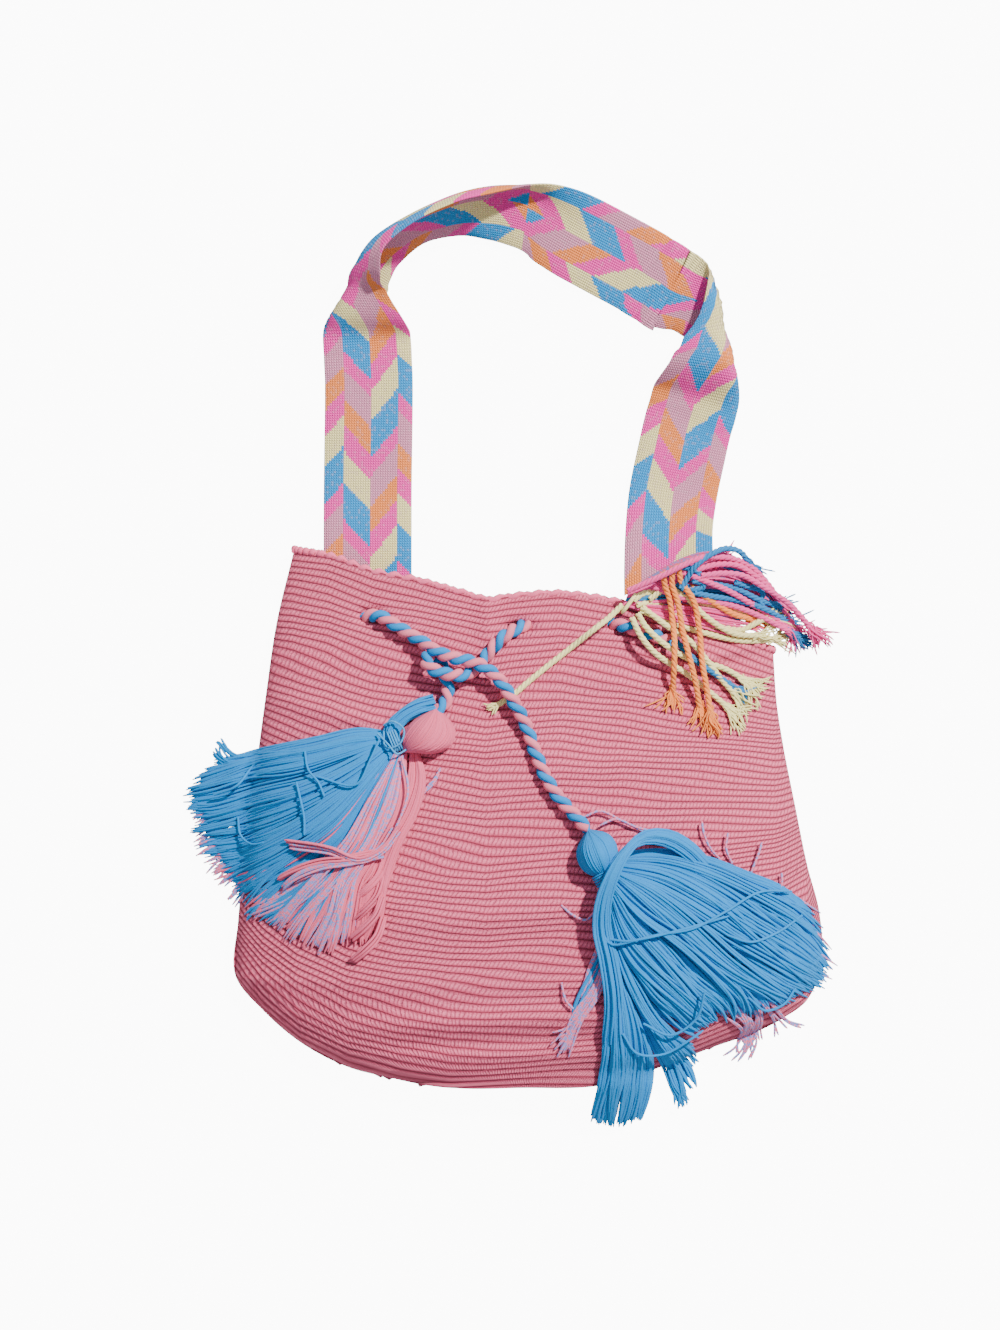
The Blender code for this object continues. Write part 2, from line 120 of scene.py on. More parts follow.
# Radii of single strands, and how far the lowest ones lie above the cloth.
STRAND, MIXED_STRAND, BED_STRAND, FRAY, HEAD_STRAND, THREAD = 0.68, 0.66, 0.55, 0.42, 0.52, 0.5
STRAND_LIFT = 0.7
ROPE_ROUTE = [(-37.0, 49.0, 4.6), (-35.6, 54.5, 4.0), (-36.4, 60.5, 3.9), (-38.0, 65.5, 3.9),
              (-40.0, 70.0, 4.1), (-43.6, 72.2, 6.2), (-46.4, 70.4, 9.6), (-44.8, 66.6, 11.9),
              (-39.0, 64.0, 11.8), (-31.0, 62.4, 11.0), (-24.6, 64.0, 6.8), (-19.5, 68.4, 4.0),
              (-13.5, 76.0, 3.9), (-7.5, 82.0, 4.5), (-1.6, 85.6, 1.2), (3.5, 87.6, -4.0),
              (10, 88.6, -8.8), (24, 88.6, -8.8), (38, 88.4, -8.8), (45.2, 88.0, -4.4),
              (50.0, 87.0, 1.4), (56, 85.2, 3.9), (64, 82.6, 4.8), (72.0, 80.0, 1.0), (76.6, 77.4, -6.4),
              (81, 73.6, -11.6), (84, 62, -12.0), (66, 50, -17.0), (30, 45, -22.0), (-10, 44, -22.0),
              (-50, 46, -19.0), (-80, 55, -12.5), (-90, 68, -9.5), (-86, 81, -9.4), (-80.0, 88.6, -7.4),
              (-73.0, 92.0, 0.4), (-67.0, 90.6, 4.6), (-60, 86.0, 4.6), (-50, 80.0, 6.6),
              (-40, 73.6, 11.0), (-31.0, 70.6, 11.6), (-21.0, 68.2, 11.6), (-12.0, 62.0, 9.6),
              (-4.0, 50.5, 7.6), (2.0, 39.5, 4.8), (7.0, 25.5, 4.0), (12.5, 12.5, 4.0), (20.0, 1.0, 4.0),
              (27.5, -7.0, 4.6), (32.5, -13.2, 7.0)]
EYELETS = [(-1.0, 86.0), (49.0, 87.2), (73.0, 79.6), (-73.5, 91.6)]
EYELET_HALF_WIDTH, EYELET_HALF_HEIGHT, EYELET_DIP = 5.2, 2.6, 6.5
# Below this height the cloth is the back panel, which has no eyelets.
FRONT_PANEL_ABOVE = 12

YARN_ENDS = {
    "cream": [
        [(56, 99.5, 6), (60, 102.5, 5), (70, 103, 3.5), (85, 99, 3), (100, 95.5, 3), (118, 92.5, 4)],
        [(57.5, 97, 5), (65, 98.2, 3.5), (77.5, 92.5, 2), (100, 86, 2), (110, 85, 3), (117, 88.4, 5),
         (122, 91, 6)],
        [(59.5, 94.4, 5), (70, 90, 2), (85, 85, 2), (112, 79.5, 2), (125, 80, 4)],
        [(58, 92.5, 5), (61.5, 86.5, 9.6), (70, 78.5, 9.6), (80, 72, 5), (102.5, 65, 2), (111, 60, 2)],
        [(55, 90.6, 8), (59, 82, 10.8), (66, 73.6, 9.2), (74, 68, 5.2), (80, 64.5, 3.2), (92.5, 55, 2),
         (103, 46, 2)]],
    "orange": [
        [(70.5, 112, 14), (71, 107.5, 12), (73.5, 100, 10), (75.2, 88, 7), (75.8, 76, 11), (75.6, 67.5, 10.2),
         (75, 55, 2)],
        [(75, 114, 14), (74.6, 108, 12), (77.6, 98, 11), (80, 84, 8), (83, 72, 9.4), (86, 60, 7.6),
         (88.5, 47, 2.5)],
        [(78, 115, 14), (79, 109, 12), (85, 100, 11), (88, 86, 8), (90, 66, 7), (92, 55, 6), (93.5, 44, 5)]],
    "blue": [
        [(79, 105, 12), (82, 110, 13), (86, 116, 16), (93, 121.5, 16), (102, 125, 14), (109, 123, 12),
         (112.5, 118.5, 10)],
        [(85, 109, 12), (95, 107.5, 9), (107, 105, 8), (119, 99.5, 8), (127, 97.5, 8)],
        [(85.4, 103.2, 9.5), (94, 101.5, 7.6), (107, 99.5, 6.6), (121, 95.3, 8.5), (131, 90, 6)]],
    "pink": [
        [(86.6, 114.4, 13), (97, 117, 11), (107, 116.6, 11), (118, 110, 10), (127, 101, 6), (135, 87, 4)],
        [(89, 111.4, 13), (99, 112.6, 13), (109, 111.8, 13), (121, 105.5, 14), (134, 97, 11.5),
         (144, 86, 9)]],
}
# More loose ends that lie among the others: (colour, route).
SMALL_ENDS = [
    ("pink", [(53, 104, 12), (60, 107, 14), (70, 111.5, 16), (80, 116.5, 17), (90, 120.5, 16),
              (97, 121, 12)]),
    ("pink", [(86, 116.6, 13), (95, 120.4, 12), (105, 120, 11), (114, 116, 9), (122, 108.5, 7),
              (130, 98, 6)]),
    ("pink", [(80, 113, 12), (92, 108.5, 12), (103, 104, 9), (113, 98.5, 8), (124, 92.5, 7), (132, 86, 6)]),
    ("pink", [(66, 106, 8), (78, 101, 8), (92, 99, 6), (106, 96.5, 6), (118, 92, 6), (134, 84, 6)]),
    ("blue", [(72, 113, 13), (80, 115.5, 14), (88, 112.5, 12), (90, 106, 10), (84, 104.5, 9)]),
    ("blue", [(106, 108.5, 10), (112, 106.5, 9), (120, 103, 8), (119, 99, 8), (126, 92, 7), (137, 82, 5)]),
    ("blue", [(76, 80, 3), (84, 72, 4), (90, 67, 4), (97, 62.5, 3), (104.5, 57, 3)]),
    ("cream", [(64, 100, 6), (72, 105, 8), (80, 102, 8), (92, 91, 6), (106, 83, 5), (118, 82, 5)]),
    ("cream", [(60, 96, 6), (72, 87, 6), (84, 79, 5), (92, 70, 4), (98, 62, 3), (106, 53, 3)]),
    ("orange", [(84, 106, 9), (96, 98, 6), (106, 92.5, 5), (114, 90.5, 4)]),
]
# Lines of (x, y) that the tangle of thin strands under the yarns lies between.
YARN_BED = [[(56, 106), (66, 111), (80, 117.5), (98, 120), (112, 115), (124, 104), (134, 90)],
            [(53, 102), (68, 106), (84, 111), (100, 112), (114, 107), (124, 98), (131, 88)],
            [(52, 99), (68, 101), (86, 103), (102, 102), (114, 99), (122, 93), (128, 86)],
            [(50, 97), (66, 93), (86, 89), (102, 86), (112, 85), (118, 84), (124, 81)]]
CREAM_TAIL = [(50.2, 97.0, 4.2), (45, 92, 5.5), (38, 86.4, 9.8), (25, 76, 3.6), (12, 65.8, 2.4),
              (3, 58.4, 2.2), (-2.5, 53.6, 2.1), (-8, 49.8, 2.1), (-12, 47.4, 2)]

# Linear colours.
PINK = (0.90, 0.145, 0.275)
BLUE = (0.001, 0.235, 0.60)
STRAP_BLUE = (0.001, 0.30, 0.72)
HOT_PINK = (0.97, 0.055, 0.42)
MAUVE = (0.70, 0.27, 0.42)
ORANGE = (0.97, 0.27, 0.06)
CREAM = (0.90, 0.80, 0.36)

# The stage: camera sizes in metres, its sensor in mm, and the lights.
SENSOR = 36
CAMERA_HEIGHT = 2.2
VIEW_LENGTH = 0.665
VIEW_CENTRE = (-0.010, 0.0675)
SUN_STRENGTH = 7.0
SUN_SIZE = math.radians(3)
SUN_FROM = (0.48, 0.54, 0.85)
SKY_STRENGTH = 0.6
FLOOR_SHADE = 0.8
FLOOR_GLOW = 13.0


def smooth_line(points, count):
    """Evenly spaced points on a smooth curve through the given ones."""
    knots = np.array(points, float)
    steps = np.linalg.norm(np.diff(knots, axis=0), axis=1)
    place = np.concatenate([[0], np.cumsum(steps)])
    slopes = np.gradient(knots, place, axis=0)
    dense = np.linspace(0, place[-1], 40 * len(points))
    index = np.clip(np.searchsorted(place, dense) - 1, 0, len(points) - 2)
    span = (place[index + 1] - place[index])[:, None]
    t = (dense - place[index])[:, None] / span
    start, end = knots[index], knots[index + 1]
    curve = ((2 * t**3 - 3 * t**2 + 1) * start + (t**3 - 2 * t**2 + t) * span * slopes[index]
             + (3 * t**2 - 2 * t**3) * end + (t**3 - t**2) * span * slopes[index + 1])
    run = np.concatenate([[0], np.cumsum(np.linalg.norm(np.diff(curve, axis=0), axis=1))])
    even = np.linspace(0, run[-1], count)
    return np.stack([np.interp(even, run, column) for column in curve.T], axis=1)


def cloth_top(x, y):
    """Height of the front panel's outer face above the floor."""
    left = np.array(LEFT_RAIL, float)[::-1]
    right = np.array(RIGHT_RAIL, float)[::-1]
    low = np.interp(y, left[:, 1], left[:, 0])
    high = np.interp(y, right[:, 1], right[:, 0])
    across = np.clip(abs(2 * (x - low) / (high - low) - 1), 0, 1)
    knots = np.array(HEIGHT_KNOTS, float)
    crown = np.interp(y, knots[:, 0], knots[:, 1])
    return EDGE_HEIGHT + (crown - EDGE_HEIGHT) * (1 - across**2.6) ** 0.6


def ground(x, y):
    """Height of what loose yarn lies on: the cloth, or the slope from the bag's edge down to the floor."""
    outside = np.maximum(np.maximum(BAG_LEFT - x, x - BAG_RIGHT), np.maximum(BAG_LOW - y, y - BAG_HIGH))
    return cloth_top(x, y) * (1 - np.clip(outside, 0, EDGE_SLOPE) / EDGE_SLOPE) + CLOTH_GAP


def lifted(route, count):
    """A smooth path along a route of (x, y, height above the cloth)."""
    points = [(x, y, float(ground(x, y)) - CLOTH_GAP + lift) for x, y, lift in route]
    return smooth_line(points, count)


# Materials: each but the floor is a Principled shader with a small network for its colour and its bump.

class Nodes:
    """A short way to write a material's node network."""

    def __init__(self, name, roughness, sheen=0.05):
        self.material = bpy.data.materials.new(name)
        self.material.use_nodes = True
        self.tree = self.material.node_tree
        self.shader = self.tree.nodes["Principled BSDF"]
        self.shader.inputs["Roughness"].default_value = roughness
        self.shader.inputs["Sheen Weight"].default_value = sheen
        self.shader.inputs["Sheen Roughness"].default_value = 0.5
        self.shader.inputs["Specular IOR Level"].default_value = 0.12

    def put(self, socket, value):
        if isinstance(value, bpy.types.NodeSocket):
            self.tree.links.new(value, socket)
        else:
            socket.default_value = value

    def math(self, operation, a, b=0.0, c=0.0):
        node = self.tree.nodes.new("ShaderNodeMath")
        node.operation = operation
        for socket, value in zip(node.inputs, (a, b, c)):
            self.put(socket, value)
        return node.outputs[0]

    def times(self, a, b):
        return self.math("MULTIPLY", a, b)

    def plus(self, a, b):
        return self.math("ADD", a, b)

    def minus(self, a, b):
        return self.math("SUBTRACT", a, b)

    def uv(self):
        node = self.tree.nodes.new("ShaderNodeUVMap")
        split = self.tree.nodes.new("ShaderNodeSeparateXYZ")
        self.tree.links.new(node.outputs[0], split.inputs[0])
        return split.outputs[0], split.outputs[1]

    def join(self, x, y, z=0.0):
        node = self.tree.nodes.new("ShaderNodeCombineXYZ")
        for socket, value in zip(node.inputs, (x, y, z)):
            self.put(socket, value)
        return node.outputs[0]

    def noise(self, scale, detail=3.0, vector=None):
        node = self.tree.nodes.new("ShaderNodeTexNoise")
        node.inputs["Scale"].default_value = scale
        node.inputs["Detail"].default_value = detail
        if vector is None:
            vector = self.tree.nodes.new("ShaderNodeTexCoord").outputs["Object"]
        self.tree.links.new(vector, node.inputs["Vector"])
        return node.outputs[0]

    def mix(self, factor, a, b):
        node = self.tree.nodes.new("ShaderNodeMix")
        node.data_type = "RGBA"
        colour_a, colour_b = [s for s in node.inputs if s.type == "RGBA"]
        self.put(node.inputs[0], factor)
        self.put(colour_a, a if isinstance(a, bpy.types.NodeSocket) else (*a, 1.0))
        self.put(colour_b, b if isinstance(b, bpy.types.NodeSocket) else (*b, 1.0))
        return [s for s in node.outputs if s.type == "RGBA"][0]

    def bands(self, factor, stops):
        node = self.tree.nodes.new("ShaderNodeValToRGB")
        ramp = node.color_ramp
        ramp.interpolation = "CONSTANT"
        ramp.elements.remove(ramp.elements[1])
        for place, colour in stops:
            element = ramp.elements[0] if place == 0 else ramp.elements.new(place)
            element.position = place
            element.color = (*colour, 1.0)
        self.put(node.inputs[0], factor)
        return node.outputs[0]

    def finish(self, colour, height, strength, distance):
        bump = self.tree.nodes.new("ShaderNodeBump")
        bump.inputs["Strength"].default_value = strength
        bump.inputs["Distance"].default_value = distance
        self.put(bump.inputs["Height"], height)
        self.tree.links.new(bump.outputs[0], self.shader.inputs["Normal"])
        self.put(self.shader.inputs["Base Color"], colour)
        return self.material


def crochet_material():
    """Rows of slanted stitches: U counts the stitches round the bag and V the rows."""
    n = Nodes("crochet_pink", 0.92)
    u, v = n.uv()
    row = n.math("FRACT", v)
    stagger = n.times(n.math("FLOOR", v), 0.37)
    lean = n.times(row, 0.9)
    wobble = n.times(n.noise(170, 3), 1.5)
    stitch = n.math("FRACT", n.plus(n.plus(u, stagger), n.plus(lean, wobble)))
    ridge = n.math("POWER", n.math("SINE", n.times(row, math.pi)), 0.6)
    lobe = n.math("POWER", n.math("SINE", n.times(stitch, math.pi)), 0.6)
    shape = n.times(ridge, n.math("MULTIPLY_ADD", lobe, 0.45, 0.55))
    fibre = n.noise(1500, 3)
    height = n.math("MULTIPLY_ADD", fibre, 0.6, shape)
    tone = n.mix(n.times(n.noise(28, 3), 0.6), PINK, (0.95, 0.21, 0.35))
    worn = n.times(fibre, 0.35)
    tone = n.mix(worn, tone, (0.58, 0.085, 0.175))
    # Painted shade: the colour darkens to deep red in the gaps between the rows and between the stitches.
    colour = n.mix(n.math("POWER", shape, 1.3), (0.30, 0.028, 0.06), tone)
    # Painted highlight: the raised tops of the rows and stitches are made lighter and paler pink.
    painted_highlight = n.times(n.math("POWER", shape, 5.0), 0.22)
    colour = n.mix(painted_highlight, colour, (0.95, 0.36, 0.44))
    return n.finish(colour, height, 0.9, 0.0013)


def strap_material():
    """Woven zigzag bands: U runs across the strap, V along it in mm from its inner end."""
    n = Nodes("strap_weave", 0.8)
    u, v = n.uv()
    cell_u = n.math("DIVIDE", n.math("FLOOR", n.times(u, WEAVE_ACROSS)), WEAVE_ACROSS)
    cell_v = n.times(n.math("FLOOR", n.math("DIVIDE", v, WEAVE_LENGTH)), WEAVE_LENGTH)
    away = n.math("ABSOLUTE", n.minus(cell_v, STRAP_FOLD_AT))
    turned = n.math("GREATER_THAN", cell_v, STRAP_FOLD_AT)
    side = n.math("ABSOLUTE", n.minus(turned, cell_u))
    # The zigzag has its peaks at 0.2 and 0.83 of the width; each of its four columns starts at its own band.
    rise = n.times(n.math("ABSOLUTE", n.minus(side, 0.2)), 47.5)
    fall = n.times(n.math("MAXIMUM", n.minus(side, 0.5), 0.0), 102.0)
    tail = n.times(n.math("MAXIMUM", n.minus(side, 0.83), 0.0), 100.0)
    drop = n.plus(n.minus(rise, fall), tail)
    first = n.times(n.math("LESS_THAN", side, 0.2), 0.2)
    second = n.times(n.math("GREATER_THAN", side, 0.5), 0.515)
    third = n.times(n.math("GREATER_THAN", side, 0.83), 0.18)
    start = n.plus(n.plus(first, second), third)
    phase = n.math("DIVIDE", n.minus(away, drop), PATTERN_PERIOD)
    phase = n.math("FRACT", n.plus(n.plus(phase, start), PATTERN_SHIFT))
    bands = n.bands(phase, [(0.0, MAUVE), (0.18, ORANGE), (0.335, HOT_PINK), (0.485, CREAM),
                            (0.665, STRAP_BLUE), (0.89, HOT_PINK)])
    slant = n.times(n.math("FRACT", n.times(u, WEAVE_ACROSS)), 0.5)
    along = n.math("FRACT", n.plus(n.math("DIVIDE", v, WEAVE_LENGTH), slant))
    across = n.math("FRACT", n.times(u, WEAVE_ACROSS))
    bead = n.times(n.math("SINE", n.times(along, math.pi)),
                  n.math("SINE", n.times(across, math.pi)))
    bead = n.math("POWER", n.math("MAXIMUM", bead, 0.0), 0.6)
    speck = n.noise(900, 1, n.join(n.times(cell_u, 0.044), n.times(cell_v, 0.001)))
    colour = n.mix(n.times(n.math("GREATER_THAN", speck, 0.60), 0.22), bands, (0.62, 0.42, 0.48))
    # Painted shade: the colour darkens in the gaps between the woven beads.
    colour = n.mix(n.minus(0.24, n.times(bead, 0.24)), colour, (0.16, 0.05, 0.10))
    return n.finish(colour, n.math("MULTIPLY_ADD", n.noise(2500, 2), 0.2, bead), 0.8, 0.0007)


def yarn_material(name, colour, other=None):
    """Spun cotton: fine fibres over a soft change of tone."""
    n = Nodes(name, 0.78, 0.06)
    fine = n.noise(1800, 3)
    broad = n.noise(60, 2)
    dark = tuple(0.55 * c for c in colour)
    tone = n.mix(n.times(fine, 0.55), colour, dark)
    if other:
        tone = n.mix(n.math("GREATER_THAN", n.noise(780, 1), 0.5), tone, other)
    pale = tuple(min(1.0, 1.25 * c + 0.02) for c in colour)
    tone = n.mix(n.times(broad, 0.5), tone, pale)
    return n.finish(tone, fine, 0.5, 0.0005)


def floor_material():
    material = bpy.data.materials.new("floor_white")
    material.use_nodes = True
    tree = material.node_tree
    tree.nodes.remove(tree.nodes["Principled BSDF"])
    diffuse = tree.nodes.new("ShaderNodeBsdfDiffuse")
    diffuse.inputs["Color"].default_value = (0.9, 0.9, 0.9, 1)
    glow = tree.nodes.new("ShaderNodeEmission")
    rays = tree.nodes.new("ShaderNodeLightPath")
    seen = tree.nodes.new("ShaderNodeMath")
    seen.operation = "MULTIPLY_ADD"
    seen.inputs[1].default_value = FLOOR_GLOW
    seen.inputs[2].default_value = FLOOR_SHADE
    tree.links.new(rays.outputs["Is Camera Ray"], seen.inputs[0])
    tree.links.new(seen.outputs[0], glow.inputs["Strength"])
    blend = tree.nodes.new("ShaderNodeMixShader")
    blend.inputs[0].default_value = 0.78
    tree.links.new(diffuse.outputs[0], blend.inputs[1])
    tree.links.new(glow.outputs[0], blend.inputs[2])
    tree.links.new(blend.outputs[0], tree.nodes["Material Output"].inputs["Surface"])
    return material


# Mesh and curve makers.

def add_piece(name, data, material, slot, *nodes):
    piece = bpy.data.objects.new(name, data)
    bpy.context.scene.collection.objects.link(piece)
    if material:
        data.materials.append(material)
    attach(piece, "root")
    if nodes:
        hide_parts(*nodes)
    return piece


def grid_mesh(name, points, uvs):
    """A smooth mesh through a grid of points in mm; the last column may close on the first."""
    rows, columns = points.shape[:2]
    mesh = bmesh.new()
    bmesh.ops.create_grid(mesh, x_segments=columns - 1, y_segments=rows - 1, size=1)
    mesh.verts.ensure_lookup_table()
    for vert, place in zip(mesh.verts, points.reshape(-1, 3) * MM):
        vert.co = place
    layer = mesh.loops.layers.uv.new("UVMap")
    flat = uvs.reshape(-1, 2)
    for face in mesh.faces:
        face.smooth = True
        for loop in face.loops:
            loop[layer].uv = flat[loop.vert.index]
    bmesh.ops.remove_doubles(mesh, verts=mesh.verts, dist=2e-6)
    data = bpy.data.meshes.new(name)
    mesh.to_mesh(data)
    mesh.free()
    return data


def strand_curve(name, lines, radius, resolution=0, thin_tips=True):
    """Many round strands in one curve: each line is a list of points in mm."""
    data = bpy.data.curves.new(name, "CURVE")
    data.dimensions = "3D"
    data.bevel_depth = radius * MM
    data.bevel_resolution = resolution
    data.use_fill_caps = True
    for line in lines:
        spline = data.splines.new("POLY")
        spline.points.add(len(line) - 1)
        flat = np.ones((len(line), 4))
        flat[:, :3] = np.asarray(line) * MM
        spline.points.foreach_set("co", flat.ravel())
        if thin_tips:
            widths = np.ones(len(line))
            widths[-1] = 0.45
            spline.points.foreach_set("radius", widths)
        spline.use_smooth = True
    return data


def add_strands(name, lines, shape, material, slot, *nodes):
    """Adds a piece of round strands; its shape is (radius, bevel resolution, whether the tips are thin)."""
    return add_piece(name, strand_curve(name, lines, *shape), material, slot, *nodes)


def side_ways(path):
    """Two unit directions across a path at each of its points, turning as little as possible."""
    along = np.gradient(path, axis=0)
    along /= np.linalg.norm(along, axis=1)[:, None]
    side = np.cross(along[0], (0, 0, 1.0))
    sides = []
    for direction in along:
        side = side - direction * np.dot(side, direction)
        side = side / np.linalg.norm(side)
        sides.append(side)
    sides = np.array(sides)
    return sides, np.cross(along, sides)


def plied_mesh(name, path, offset, ply_radius, plies, pitch, resolution=1, slots=None):
    """A rope of helical plies round a path, as one mesh."""
    across, up = side_ways(path)
    run = np.concatenate([[0], np.cumsum(np.linalg.norm(np.diff(path, axis=0), axis=1))])
    lines = []
    for ply in range(plies):
        turn = -2 * math.pi * (run / pitch + ply / plies)
        lines.append(path + offset * (np.cos(turn)[:, None] * across + np.sin(turn)[:, None] * up))
    data = strand_curve(name, lines, ply_radius, resolution, False)
    for material in slots or []:
        data.materials.append(material)
    for number, spline in enumerate(data.splines):
        spline.material_index = number if slots else 0
    curve = bpy.data.objects.new(name + "_curve", data)
    bpy.context.scene.collection.objects.link(curve)
    bpy.context.view_layer.update()
    mesh = bpy.data.meshes.new_from_object(curve.evaluated_get(bpy.context.evaluated_depsgraph_get()))
    bpy.data.objects.remove(curve)
    return mesh


# The bag.

def crease_height(x, y):
    """Soft folds raised above or pressed into the front panel, and the dips round its eyelets."""
    height = np.zeros_like(x)
    for cx, cy, heading, half_length, half_width, depth in CREASES:
        c, s = math.cos(math.radians(heading)), math.sin(math.radians(heading))
        along = (x - cx) * c + (y - cy) * s
        aside = (y - cy) * c - (x - cx) * s
        height += depth * np.exp(-(aside / half_width)**2 - (along / half_length)**4)
    for ex, ey in EYELETS:
        height -= EYELET_DIP * np.exp(-((x - ex) / 5.5)**2 - ((y - ey) / 3.4)**2)
    return height


def bag_points(lines, angles):
    """The sack's outer face: one row of points for each place down the rails, round the given angles."""
    v = np.linspace(0, 1, lines)[:, None]
    left = smooth_line(LEFT_RAIL, lines)[:, None, :]
    right = smooth_line(RIGHT_RAIL, lines)[:, None, :]
    across = -np.cos(angles)
    h = (across + 1) / 2
    place = np.linspace(0, 1, 201)
    mouth, bottom = smooth_line(MOUTH_LINE, 201), smooth_line(BOTTOM_LINE, 201)
    top = np.stack([np.interp(h, place, mouth[:, k]) for k in (0, 1)], axis=1)[None]
    low = np.stack([np.interp(h, place, bottom[:, k]) for k in (0, 1)], axis=1)[None]
    h3, v3 = h[None, :, None], v[:, :, None]
    corners = ((1 - h3) * (1 - v3) * mouth[0] + h3 * (1 - v3) * mouth[-1]
               + (1 - h3) * v3 * bottom[0] + h3 * v3 * bottom[-1])
    plan = (1 - h3) * left + h3 * right + (1 - v3) * top + v3 * low - corners
    x, y = plan[..., 0], plan[..., 1]
    rise = np.clip((abs(across) - FLAT_BACK) / (1 - FLAT_BACK), 0, 1)
    under = EDGE_HEIGHT * (1 - np.sqrt(1 - rise**2)) + np.zeros_like(x)
    fade = np.clip(1 - across**8, 0, 1)
    over = cloth_top(x, y) + crease_height(x, y) * fade
    z = np.where(angles[None, :] <= math.pi + 1e-6, over, under)
    return np.stack([x, y, z], axis=-1)


def outward(points):
    normals = np.cross(np.gradient(points, axis=1), np.gradient(points, axis=0))
    return normals / np.maximum(np.linalg.norm(normals, axis=2), 1e-9)[..., None]


def row_number(x, y):
    """The crochet row at a place of the plan: rows follow the mouth above and the bag's lower edge below."""
    mouth, bottom = np.array(MOUTH_LINE, float), np.array(LOWER_EDGE, float)
    top = np.interp(x, mouth[:, 0], mouth[:, 1])
    low = np.interp(x, bottom[:, 0], bottom[:, 1])
    down = np.clip((top - y) / (top - low), 0, 1)
    waves = 0.006 * np.sin(2 * math.pi * (3.1 * down + x / 400))
    waves = waves + 0.0035 * np.sin(2 * math.pi * (7.3 * down + x / 95))
    sag = 0.012 * np.sin(x / 31 + 5 * down) * np.sin(math.pi * down)
    return CROCHET_ROWS * (down + waves + sag * (0.4 + 0.6 * np.sin(9 * down + x / 60)))


def make_bag(cotton):
    front = np.linspace(0, math.pi, FRONT_COLUMNS)
    back = np.linspace(math.pi, 2 * math.pi, BACK_COLUMNS)[1:]
    angles = np.concatenate([front, back])
    points = bag_points(MESH_LINES, angles)
    row = row_number(points[..., 0], points[..., 1])
    ridge = np.abs(np.sin(math.pi * row))**0.7 - 0.6
    facing_up = np.where(angles <= math.pi, np.sin(np.minimum(angles, math.pi))**0.3, 0)[None, :]
    normals = outward(points)
    sign = np.sign(normals[MESH_LINES // 2, FRONT_COLUMNS // 2, 2])
    points += sign * normals * (ridge * facing_up * ROW_RELIEF)[..., None]
    points[:, FRONT_COLUMNS:, 2] = np.maximum(points[:, FRONT_COLUMNS:, 2], 0)
    share = np.concatenate([(1 - np.cos(front)) / 4, 0.5 + (1 - np.cos(back - math.pi)) / 4])
    uvs = np.stack(np.broadcast_arrays(share[None, :] * STITCHES_ROUND, row), axis=-1)

    last, middle = points[-1], points[-1].mean(axis=0)
    bottom = smooth_line(BOTTOM_LINE, 201)
    for scale in np.linspace(1, 0.02, BASE_RINGS)[1:]:
        ring = middle + (last - middle) * scale
        ring[:, 1] = np.interp(ring[:, 0], bottom[:, 0], bottom[:, 1]) + 1.5 * (1 - scale)
        points = np.concatenate([points, ring[None]])
        base_row = uvs[MESH_LINES - 1, :, 1] + 12 * (1 - scale)
        uvs = np.concatenate([uvs, np.stack([uvs[0, :, 0], base_row], axis=1)[None]])
    data = grid_mesh("bag_crochet", points, uvs)
    cut_eyelets(data)
    add_piece("bag_crochet", data, cotton, "pink_cotton", "bag_body")

    inner = np.concatenate([np.linspace(0, math.pi, LINING_FRONT), np.linspace(math.pi, 2 * math.pi, 30)[1:]])
    lining = bag_points(LINING_LINES, inner)
    lining += -np.sign(outward(lining)[30, 30, 2]) * outward(lining) * WALL
    lining[:, LINING_FRONT:, 2] = np.maximum(lining[:, LINING_FRONT:, 2], WALL - 1)
    rows = np.linspace(0, CROCHET_ROWS, LINING_LINES)[:, None]
    turns = (inner / (2 * math.pi) * STITCHES_ROUND)[None, :]
    lining_uvs = np.stack(np.broadcast_arrays(turns, rows), axis=-1)
    add_piece("bag_inside", grid_mesh("bag_inside", lining, lining_uvs), cotton, "pink_cotton")

    rim = bag_points(3, np.linspace(0, 2 * math.pi, RIM_POINTS))[0]
    wave = np.arange(len(rim)) * 2 * math.pi / 5
    rim[:, 1] += 0.9 * np.sin(wave)
    in_front = np.arange(RIM_POINTS) < RIM_POINTS // 2
    rim[:, 2] = np.where(in_front, rim[:, 2] - 0.8, rim[:, 2] + 1.8) + 0.5 * np.cos(wave)
    edging = strand_curve("bag_edging", [rim], 1.55, 2, False)
    radii = 0.86 + 0.22 * np.cos(wave)
    edging.splines[0].points.foreach_set("radius", radii)
    add_piece("bag_edging", edging, yarn_material("edging_cotton", PINK), "pink_cotton")


def cut_eyelets(data):
    """Opens the slits that the drawstring runs through."""
    mesh = bmesh.new()
    mesh.from_mesh(data)
    gone = []
    for face in mesh.faces:
        centre = face.calc_center_median() / MM
        if centre.z < FRONT_PANEL_ABOVE:
            continue
        for x, y in EYELETS:
            if ((centre.x - x) / EYELET_HALF_WIDTH)**2 + ((centre.y - y) / EYELET_HALF_HEIGHT)**2 < 1:
                gone.append(face)
                break
    bmesh.ops.delete(mesh, geom=gone, context="FACES")
    mesh.to_mesh(data)
    mesh.free()


# The strap.

